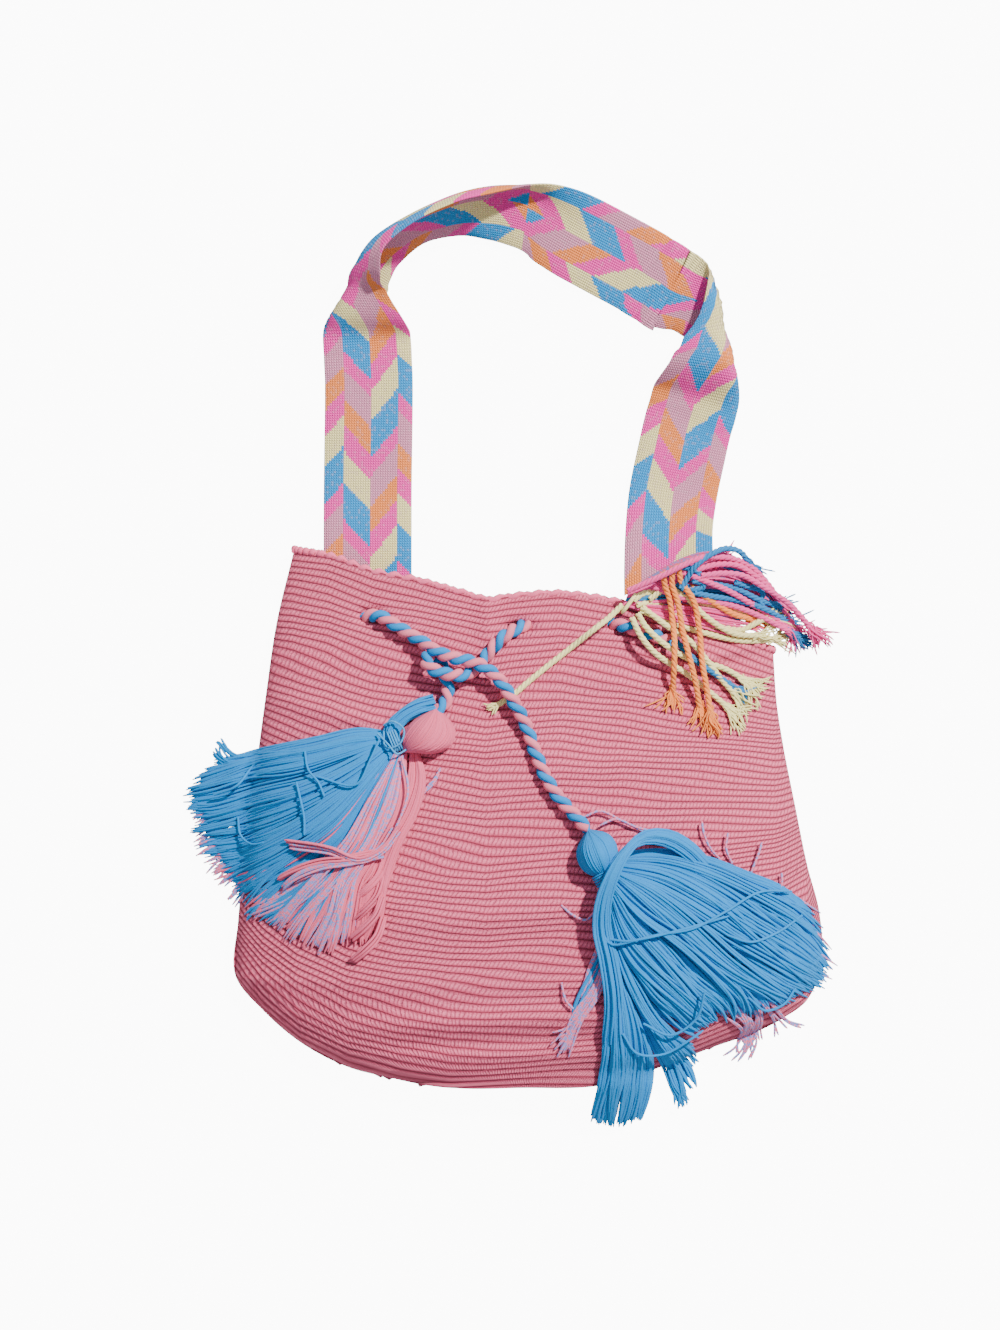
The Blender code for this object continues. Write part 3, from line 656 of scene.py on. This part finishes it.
def strap_section(station, places):
    """Points and face directions across the strap, in the upright plane across its own line."""
    x, y, low, slope_a, slope_b, fold, heading = station
    fine = np.linspace(0, 1, 121)
    share = 0.5 + 0.5 * np.tanh((fine - fold) / CURL_WIDTH)
    slope = np.radians(slope_a + (slope_b - slope_a) * share)
    step = STRAP_WIDTH / 120
    aside = np.concatenate([[0], np.cumsum(np.cos(slope[1:]) * step)])
    above = np.concatenate([[0], np.cumsum(np.sin(slope[1:]) * step)])
    aside -= (aside.min() + aside.max()) / 2
    above += low + STRAP_THICKNESS / 2 - above.min()
    aside, above = np.interp(places, fine, aside), np.interp(places, fine, above)
    slope = np.interp(places, fine, slope)
    right = np.array([math.cos(heading - math.pi / 2), math.sin(heading - math.pi / 2), 0])
    points = np.array([(x, y, 0)]) + np.outer(aside, right) + np.outer(above, (0, 0, 1))
    faces = np.outer(-np.sin(slope), right) + np.outer(np.cos(slope), (0, 0, 1))
    return points, faces


def end_share(y, x):
    """How far the strap's right end is pulled askew: 1 at its end and 0 farther up."""
    near = np.clip(1 - (y - STRAP_STATIONS[-1][1]) / END_REACH, 0, 1)
    return near**2 * (3 - 2 * near) if x > 0 else 0.0


def make_strap():
    stations = smooth_line(STRAP_STATIONS, 260)
    slopes = np.gradient(stations[:, :2], axis=0)
    headings = np.unwrap(np.arctan2(slopes[:, 1], slopes[:, 0]))
    across = np.sin(np.linspace(-math.pi / 2, math.pi / 2, 30)) / 2
    edge = np.sqrt(np.maximum(1 - (2 * across)**6, 0))
    grid, length = [], 0.0
    uvs = []
    previous = None
    for station, heading in zip(stations, headings):
        points, faces = strap_section((*station, heading), across + 0.5)
        points[:, 1] += END_SHEAR * (points[:, 0] - station[0]) * end_share(station[1], station[0])
        middle = station[:2]
        length += 0 if previous is None else float(np.linalg.norm(middle - previous))
        previous = middle
        lift = faces * (edge * STRAP_THICKNESS / 2)[:, None]
        grid.append(np.concatenate([points + lift, (points - lift)[::-1][1:]]))
        u = np.concatenate([across + 0.5, (across + 0.5)[::-1][1:]])
        uvs.append(np.stack([u, np.full(len(u), length)], axis=1))
    data = grid_mesh("strap_band", np.array(grid), np.array(uvs))
    strap = add_piece("strap_band", data, strap_material(), "strap_weave", "shoulder_strap")


# The drawstring and the yarns.

def make_drawstring(blue, pink):
    path = lifted([(-41.0, 45.5, 7.5)] + ROPE_ROUTE, 530)
    data = plied_mesh("drawstring_rope", path, ROPE_OFFSET, ROPE_PLY, 2, ROPE_TURN, 2, [blue, pink])
    rope = add_piece("drawstring_rope", data, None, "blue_cotton", "drawstring")


def fray_lines(path, count, reach):
    """Loose filaments that curl from a cut end and sink to the cloth."""
    tip, way = path[-1], path[-1] - path[-8]
    way = way / np.linalg.norm(way)
    side = np.array([-way[1], way[0], 0.0])
    t = np.linspace(0, 1, 12)[:, None]
    lines = []
    for _ in range(count):
        size = reach * RNG.uniform(0.5, 1.1)
        spread, bend, curl = RNG.normal(0, 0.20), RNG.normal(0, 0.30), RNG.normal(0, 0.07)
        across = spread * t + bend * t**2 + curl * np.sin(7 * t + RNG.uniform(0, 6))
        line = tip - way * 2.5 + RNG.normal(0, 0.45, 3) + size * (t * way + across * side)
        line[:, 2] += size * (RNG.uniform(-0.1, 0.2) * t - 0.35 * t**2)[:, 0]
        line[:, 2] = np.maximum(line[:, 2], ground(line[:, 0], line[:, 1]) + RNG.uniform(0.4, 2.2))
        lines.append(line)
    return lines


def make_yarn(name, route, slot, material, *nodes):
    path = lifted(route, 100)
    data = plied_mesh(name, path, YARN_OFFSET, YARN_PLY, 3, YARN_TURN, 1)
    yarn = add_piece(name, data, material, slot, *nodes)
    return path


def make_yarn_ends(materials):
    slots = {"cream": "cream_yarn", "orange": "orange_yarn", "blue": "blue_cotton", "pink": "hot_pink_yarn"}
    for colour, routes in YARN_ENDS.items():
        frays = []
        for number, route in enumerate(routes):
            node = f"{colour}_yarn_end_{number + 1}"
            path = make_yarn(node.replace("_end_", "_ply_"), route, slots[colour], materials[colour], node)
            frays += fray_lines(path, 34, 15)
        if colour == "cream":
            frays += fray_lines(make_yarn("cream_tail", CREAM_TAIL, "cream_yarn", materials["cream"],
                                          "cream_yarn_tail"), 18, 7)
        for number, (shade, route) in enumerate(SMALL_ENDS):
            if shade == colour:
                frays += fray_lines(make_yarn(f"small_{colour}_yarn_{number + 1}", route, slots[colour],
                                              materials[colour]), 22, 13)
        add_strands(f"{colour}_frays", frays, (FRAY, 0, True), materials[colour], slots[colour])
    for colour, count, pile in (("pink", 120, 5.0), ("mauve", 90, 3.5), ("blue", 44, 5.5),
                                ("orange", 26, 3.5)):
        bed = sheaf_lines(YARN_BED, count, pile, 4, 0.25, 2.0)
        add_strands(f"{colour}_yarn_bed", bed, (BED_STRAND, 1, True), materials[colour],
                  slots.get(colour, "hot_pink_yarn"))
    knot = []
    for k in range(5):
        turn = np.linspace(0, 2 * math.pi, 24)
        ring = np.stack([53.6 + 0.5 * (k - 2) + 3.1 * np.cos(turn) * 0.7,
                         97.8 + 2.9 * np.cos(turn) + 0.7 * (k - 2),
                         float(ground(53.6, 97.8)) + 4.0 + 3.0 * np.sin(turn)], axis=1)
        knot.append(ring)
    add_strands("strap_knot", knot, (0.95, 2, False), materials["cream"], "cream_yarn",
              "strap_end_knot")


# The tassels.

def sheaf_lines(guides, count, pile, locks=6, trim=0.1, flare=1.6):
    """Strands that lie between guide lines of (x, y), in small locks that bend together."""
    steps = 24
    paths = np.array([smooth_line(guide, steps) for guide in guides])
    t = np.linspace(0, 1, steps)
    lines = []
    for i in range(count):
        if i % locks == 0:
            place = (i * 0.618 / locks + RNG.uniform(0, 0.04)) % 1
            bow, drift, level = RNG.normal(0, 1.6), RNG.normal(0, 0.075), RNG.uniform(0.15, 1)
            curl, start = RNG.normal(0, 0.7), RNG.uniform(0, 6)
            cut = RNG.uniform(1 - trim, 1)
        a = np.clip(place + RNG.normal(0, 0.020) + drift * t, 0, 1) * (len(guides) - 1)
        low = np.minimum(a.astype(int), len(guides) - 2)
        share = (a - low)[:, None]
        line = (1 - share) * paths[low, np.arange(steps)] + share * paths[low + 1, np.arange(steps)]
        way = np.gradient(line, axis=0)
        side = np.stack([-way[:, 1], way[:, 0]], axis=1) / np.linalg.norm(way, axis=1)[:, None]
        sway = (bow + RNG.normal(0, 0.8)) * np.sin(math.pi * t) + flare * RNG.normal() * t**3
        sway = sway + (curl + RNG.normal(0, 0.25)) * t * np.sin(11 * t + start)
        line = line + sway[:, None] * side
        reach = t * cut * RNG.uniform(0.96, 1)
        line = np.stack([np.interp(reach, t, line[:, k]) for k in (0, 1)], axis=1)
        across = np.clip(a / (len(guides) - 1), 0.02, 0.98)
        dome = np.sqrt(4 * across * (1 - across))
        bunch = np.sin(math.pi * np.clip(t * 0.9 + 0.1, 0, 1))**0.6
        rise = pile * (0.25 + 0.75 * dome) * bunch * (level * 0.8 + 0.2 * RNG.uniform())
        lines.append(np.column_stack([line, ground(line[:, 0], line[:, 1]) + STRAND_LIFT + rise]))
    return lines


def bundle_lines(route, count, radius, loose=1.0):
    """Parallel strands along a route of (x, y, lift off the cloth)."""
    path = lifted(route, 30)
    across, up = side_ways(path)
    lines = []
    for _ in range(count):
        angle, r = RNG.uniform(0, 2 * math.pi), radius * math.sqrt(RNG.uniform())
        angles = angle + np.linspace(0, RNG.normal(0.5, 0.25), len(path))
        r = r * (1 + 0.12 * loose * np.sin(np.linspace(0, 6, len(path)) + RNG.uniform(0, 6)))
        lines.append(path + r[:, None] * (np.cos(angles)[:, None] * across + np.sin(angles)[:, None] * up))
    return lines


def dome_lines(top, side_a, side_b, neck, count, crown):
    """Strands laid over a rounded head, from its top to its neck."""
    lines = []
    for k in range(count):
        q = (k + RNG.uniform(0, 1)) / count
        middle = np.array(side_a) * (1 - q) + np.array(side_b) * q
        a, b = np.array(top, float), np.array(neck, float)
        plan = smooth_line([a, (a + middle * 2) / 3 + (middle - (a + b) / 2) * 0.25, middle,
                            (b + middle * 2) / 3 + (middle - (a + b) / 2) * 0.25, b], 20)
        t = np.linspace(0, 1, 20)
        arch = np.sqrt(np.maximum(1 - (2 * q - 1)**2, 0.02)) * np.sin(math.pi * t)**0.6
        z = ground(plan[:, 0], plan[:, 1]) + 2.5 + crown * arch + RNG.normal(0, 0.3)
        lines.append(np.column_stack([plan, z]))
    return lines


def wrap_lines(centre, heading, radius, turns, width):
    """Thread wound round a neck."""
    angle = np.linspace(0, 2 * math.pi * turns, 22 * turns)
    way = np.array([math.cos(heading), math.sin(heading)])
    side = np.array([-way[1], way[0]])
    run = (np.linspace(-0.5, 0.5, len(angle)) * width)[:, None]
    plan = np.array(centre[:2]) + run * way + radius * np.cos(angle)[:, None] * side
    return [np.column_stack([plan, centre[2] + radius * 0.85 * np.sin(angle)])]


def on_cloth(x, y, lift):
    return (x, y, float(ground(x, y)) + lift)


def plain_line(route):
    """One loose thread along a route of (x, y, lift off the cloth)."""
    return smooth_line([(x, y, float(ground(x, y)) + STRAND_LIFT + up) for x, y, up in route], 30)


def make_left_tassel(cotton):
    neck = on_cloth(-62, 28.5, 4.5)
    upper = [[(-63, 34), (-78, 35), (-98, 30), (-119, 26), (-134, 23), (-151, 19)],
             [(-63, 32.5), (-83, 29), (-109, 22), (-131, 19), (-150, 13), (-167, 8)],
             [(-63, 31), (-83, 23), (-107, 15), (-131, 9), (-154, 2), (-170.5, -1)],
             [(-63, 29.5), (-83, 17), (-104, 6), (-127, -3), (-146, -10), (-165.5, -16)],
             [(-62.5, 27.5), (-80, 12), (-98, -1), (-119, -14), (-139, -24), (-161, -28)],
             [(-62.5, 26), (-78, 7), (-93, -9), (-111, -22), (-129, -32), (-147, -40)],
             [(-61.5, 25), (-75, 3), (-88, -18), (-103, -30), (-119, -41), (-137, -58)]]
    lower = [[(-61.5, 25), (-75, 3), (-86, -18), (-98, -32), (-114, -43), (-139, -56)],
             [(-61, 24), (-71, 2), (-82, -20), (-93, -33), (-108, -48), (-129, -64)],
             [(-60, 23), (-69, 0), (-79, -22), (-92, -38), (-104, -52), (-116, -70)],
             [(-59, 23), (-67, -1), (-76, -22), (-89, -38), (-94, -53), (-104, -75)],
             [(-58, 23), (-64, -1), (-76, -22), (-84, -38), (-88, -54), (-92, -76)],
             [(-56, 24), (-60, -2), (-70, -22), (-80, -38), (-82, -54), (-83, -73)]]
    edge = [[(-54, 26), (-54, 9), (-60, -6), (-66, -20), (-70, -34), (-77, -47), (-81, -73)],
            [(-52, 26), (-50, 12), (-54, -4), (-62, -20), (-67, -36), (-72, -52), (-78, -74)],
            [(-50.5, 25), (-47.5, 14), (-50.5, -1), (-60.5, -18), (-66.5, -32), (-67.5, -54), (-72.5, -70)]]
    ragged = [[(-129, 22), (-139, 22), (-146, 27), (-151.5, 32)],
              [(-135, 20), (-143, 19), (-150, 22), (-152, 25)]]
    under = [[(-88, 26), (-120, 18), (-140, 8), (-164, -8)],
             [(-80, 10), (-118, -8), (-142, -18), (-163, -27)],
             [(-76, 2), (-105, -26), (-125, -38), (-140, -57)]]
    blue = sheaf_lines(upper, 470, 11) + sheaf_lines(lower[:5], 60, 8) + sheaf_lines(ragged, 16, 3, 4)
    blue += [plain_line([(-69, 31, 11), (-74, 20, 12), (-79, 10, 12), (-101, 13, 11)]),
             plain_line([(-106, 25, 8), (-104, 16, 11), (-99, 10, 12), (-96, 3, 11)]),
             plain_line([(-110, 10, 11), (-108, 2, 12), (-106, -8, 11), (-106, -16, 10)]),
             plain_line([(-140, -8, 7), (-139, -16, 8), (-133, -21, 8), (-126, -20, 7)]),
             plain_line([(-152, 3, 8), (-140, 8, 11), (-132, 18, 8), (-129, 20, 7)])]
    mixed = sheaf_lines(lower, 110, 9) + sheaf_lines(under, 50, 2.5, 5, 0.02, 3.0)
    mixed += [plain_line([(-58, 22, 7), (-55, 6, 8), (-60, -10, 8), (-66, -21, 7)]),
              plain_line([(-52, -2, 0), (-47, 6, 0.5), (-42, 12, 0.5), (-39, 17, 0)]),
              plain_line([(-52.5, -3, 0.5), (-48, 4, 0.5), (-43, 9, 0.5), (-40, 14, 0)])]
    pink = sheaf_lines(lower[1:], 100, 7.5, 4, 0.16, 2.4) + sheaf_lines(edge, 60, 5)
    pink += sheaf_lines(upper[4:], 26, 6, 3, 0.03, 3.0)
    pink += bundle_lines([(-60.5, -11, 8), (-67.5, -21, 9), (-78, -26.5, 10), (-93, -21.5, 11),
                          (-115, -18.5, 10)], 7, 2.0, 2.5)
    mixed += bundle_lines([(-60.5, -13, 8), (-67.5, -23, 9), (-78, -28, 10), (-93, -23, 11),
                           (-113, -20.5, 10)], 5, 1.9, 2.5)
    pink += bundle_lines([(-68, -24, 8), (-83, -27, 10), (-98, -29, 10), (-114, -35, 8), (-119, -38, 6)],
                         4, 1.7, 2.5)
    mixed += bundle_lines([(-67, -25, 8), (-83, -29, 10), (-98, -31, 10), (-113, -38, 8), (-117, -42, 6)],
                          6, 1.9, 2.5)
    for y in (-30, -40, -50, -60):
        pink += bundle_lines([(-67.5, y + 4, 3), (-70.5, y - 5, 5), (-76.5, y - 12, 5), (-82, y - 17, 2)],
                             9, 2.3)
    head = dome_lines((-40.5, 47), (-56, 36), (-33.5, 29), (-57, 25), 110, 13)
    hank = bundle_lines([(-42, 49, 5), (-50, 46.5, 6), (-57.5, 42, 6), (-63, 34.5, 5.5), (-63, 29, 4)],
                        60, 3.7)
    add_strands("left_tassel_blue", blue, (0.62, 1, True), cotton["blue"], "blue_cotton",
              "left_tassel_blue_yarn")
    add_strands("left_tassel_mixed", mixed, (MIXED_STRAND, 1, True), cotton["lilac"],
              "pink_cotton")
    add_strands("left_tassel_pink", pink, (STRAND, 1, True), cotton["pink"], "pink_cotton",
              "left_tassel_pink_yarn")
    add_strands("left_tassel_bulb", head, (HEAD_STRAND, 1, False), cotton["pink"],
              "pink_cotton", "left_tassel_head")
    add_strands("left_tassel_hank", hank, (0.6, 1, False), cotton["blue"],
              "blue_cotton", "left_tassel_loop")
    wraps = wrap_lines((-62, 30.5, neck[2]), math.radians(200), 5.6, 4, 5.0)
    wraps += [plain_line([(-67, 38, 8), (-63, 40, 11), (-57, 36, 11), (-59, 29, 10), (-66, 27, 8),
                          (-67, 35, 8)]),
              plain_line([(-70, 34, 8), (-65, 29, 11), (-60, 24, 9), (-56, 26, 8)])]
    add_strands("left_tassel_wraps", wraps, (THREAD, 1, False), cotton["pale_blue"],
              "blue_cotton", "left_tassel_binding")


def make_right_tassel(cotton):
    neck = on_cloth(43, -36, 7)
    main_part = [[(47, -25), (66, -23), (89, -27), (112, -36), (129, -43), (148, -60)],
                 [(47, -28), (72, -29), (95, -37), (118, -49), (140, -64), (156, -82)],
                 [(47, -32), (68, -37), (91, -50), (114, -67), (135, -80), (155, -92)],
                 [(47, -35), (66, -47), (84, -61), (103, -77), (123, -89), (146, -99)],
                 [(46, -39), (60, -54), (80, -68), (98, -85), (110, -99), (112, -110)],
                 [(45, -42), (55, -59), (72, -77), (84, -91), (93, -102), (99, -109)],
                 [(44, -47), (50, -66), (64, -87), (77, -101), (84, -108), (89, -111)],
                 [(43, -54), (48, -74), (56, -93), (63, -106), (70, -115), (86, -127)]]
    down_part = [[(46, -80), (43, -103), (42, -120), (39, -138), (35, -161)],
                 [(47, -82), (49, -108), (49, -132), (46, -149), (44, -164)],
                 [(48, -82), (54, -108), (57, -132), (56, -149), (53, -163)],
                 [(50, -86), (59, -112), (64, -128), (63, -149), (60, -160)]]
    spikes = [[(56, -98), (66, -118), (72, -130), (76, -142), (80, -156)],
              [(58, -100), (70, -122), (78, -134), (84, -144), (88, -150)],
              [(60, -98), (74, -115), (84, -124), (90, -130), (96, -128)]]
    wisps = [[(42, -60), (38, -74), (33, -90), (28, -105)], [(43, -76), (37, -94), (28, -109), (19, -128)],
             [(43, -84), (34, -100), (25, -111), (12, -118)]]
    fringe = [[(112, -88), (124, -98), (132, -108), (144, -117)],
              [(104, -96), (112, -110), (106, -122), (103, -132)],
              [(98, -104), (114, -112), (118, -120), (118, -130)]]
    flyaway = [[(98, -28), (93, -22), (90, -15), (89, -9)], [(104, -30), (101, -22), (102, -15)],
               [(113, -36), (115, -31), (117, -26), (119, -20)], [(128, -44), (129, -40), (129, -35)],
               [(66, -17), (50, -9), (38, -4), (31, -7)], [(70, -15), (57, -12), (46, -8), (39, -11)],
               [(20, -50), (26, -55), (32, -57), (37, -52)], [(20, -88), (23, -98), (26, -101)]]
    over = [(90, -31, 5), (82, -23, 9), (71, -17, 12), (59, -17, 15), (49.5, -25, 18), (43.5, -36, 18),
            (40, -48, 14), (39.5, -60, 11), (43, -76, 9), (46, -96, 7), (45, -118, 4)]
    blue = sheaf_lines(main_part, 560, 14, 6, 0.08, 1.4) + sheaf_lines(down_part, 130, 8, 5, 0.05, 0.8)
    blue += sheaf_lines(spikes, 60, 6, 4, 0.25, 2.2) + sheaf_lines(wisps, 22, 2, 3, 0.4, 2.5)
    for shift in (-2.2, 0.0, 2.2):
        blue += bundle_lines([(x + shift * (0.4 + k / 9), y + shift * (1 - k / 9), z - abs(shift) * 0.4)
                              for k, (x, y, z) in enumerate(over)], 20, 2.1, 1.6)
    blue += [plain_line([(42, -66, 9), (52, -67, 13), (66, -64, 14), (84, -61, 14), (100, -53, 13),
                         (117, -44, 9), (134, -44, 6)]),
             plain_line([(40, -58, 9), (43, -68, 10), (58, -66, 14), (80, -61, 14), (102, -55, 13)]),
             plain_line([(139, -56, 6), (126, -64, 9), (112, -68, 12), (100, -64, 13)]),
             plain_line([(50, -113, 8), (57, -123, 9), (70, -124, 9), (83, -117, 8), (90, -112, 6)]),
             plain_line([(112, -96, 6), (122, -103, 5), (130, -100, 5), (136, -92, 5)]),
             plain_line([(60, -108, 8), (74, -114, 9), (86, -106, 9), (90, -92, 12)])]
    mixed = sheaf_lines(wisps, 50, 2.5, 3, 0.4, 3.0) + sheaf_lines(fringe, 34, 2, 3, 0.3, 3.0)
    mixed += sheaf_lines(main_part[:3], 18, 4, 2, 0.02, 3.5)
    mixed += [smooth_line([(x, y, float(ground(x, y)) + 1.0 + 2.5 * math.sin(2.6 * k / len(thread)))
                           for k, (x, y) in enumerate(thread)], 24) for thread in flyaway]
    head = dome_lines((33, -13), (28.5, -29), (46.5, -20), (42.5, -37), 110, 15)
    add_strands("right_tassel_main", blue, (STRAND, 1, True), cotton["blue"], "blue_cotton",
              "right_tassel_main_yarn")
    add_strands("right_tassel_mixed", mixed, (0.6, 1, True), cotton["lilac"],
              "blue_cotton", "right_tassel_lower_yarn")
    add_strands("right_tassel_barrel", head, (HEAD_STRAND, 1, False), cotton["blue"],
              "blue_cotton", "right_tassel_head")
    wraps = wrap_lines((42, -35.5, neck[2]), math.radians(-60), 6.4, 5, 6)
    add_strands("right_tassel_wraps", wraps, (THREAD, 1, False), cotton["blue"],
              "pink_cotton", "right_tassel_binding")


# The stage.

def make_stage():
    bpy.ops.mesh.primitive_plane_add(size=12, location=(0, 0, -0.0002))
    floor = bpy.context.object
    floor.name = "floor"
    floor.data.materials.append(floor_material())

    camera = bpy.data.objects.new("camera", bpy.data.cameras.new("camera"))
    camera.data.lens = SENSOR * CAMERA_HEIGHT / VIEW_LENGTH
    camera.location = (*VIEW_CENTRE, CAMERA_HEIGHT)
    bpy.context.scene.collection.objects.link(camera)
    bpy.context.scene.camera = camera

    sun = bpy.data.objects.new("sun", bpy.data.lights.new("sun", "SUN"))
    sun.data.energy = SUN_STRENGTH
    sun.data.angle = SUN_SIZE
    sun.data.color = (1.0, 0.97, 0.93)
    sun.rotation_euler = Vector(SUN_FROM).to_track_quat("Z", "Y").to_euler()
    bpy.context.scene.collection.objects.link(sun)

    world = bpy.data.worlds.new("studio")
    bpy.context.scene.world = world
    world.use_nodes = True
    world.node_tree.nodes["Background"].inputs["Color"].default_value = (0.95, 0.97, 1.0, 1)
    world.node_tree.nodes["Background"].inputs["Strength"].default_value = SKY_STRENGTH


def main():
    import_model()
    make_stage()
    cotton = {"pink": yarn_material("tassel_pink", (0.76, 0.13, 0.235)),
              "blue": yarn_material("tassel_blue", BLUE),
              "lilac": yarn_material("tassel_lilac", (0.78, 0.19, 0.32), (0.05, 0.28, 0.66)),
              "pale_blue": yarn_material("tassel_wrap", (0.05, 0.32, 0.66))}
    yarns = {"cream": yarn_material("cream_yarn", CREAM), "orange": yarn_material("orange_yarn", ORANGE),
             "blue": yarn_material("strap_blue_yarn", (0.02, 0.20, 0.48)),
             "pink": yarn_material("hot_pink_yarn", (0.90, 0.09, 0.33)),
             "mauve": yarn_material("tangled_yarn", (0.62, 0.07, 0.20), (0.10, 0.16, 0.36))}
    make_drawstring(yarn_material("rope_blue", BLUE), yarn_material("rope_pink", (0.80, 0.18, 0.27)))
    make_yarn_ends(yarns)
    make_strap()
    make_left_tassel(cotton)
    make_right_tassel(cotton)
    make_bag(crochet_material())


main()
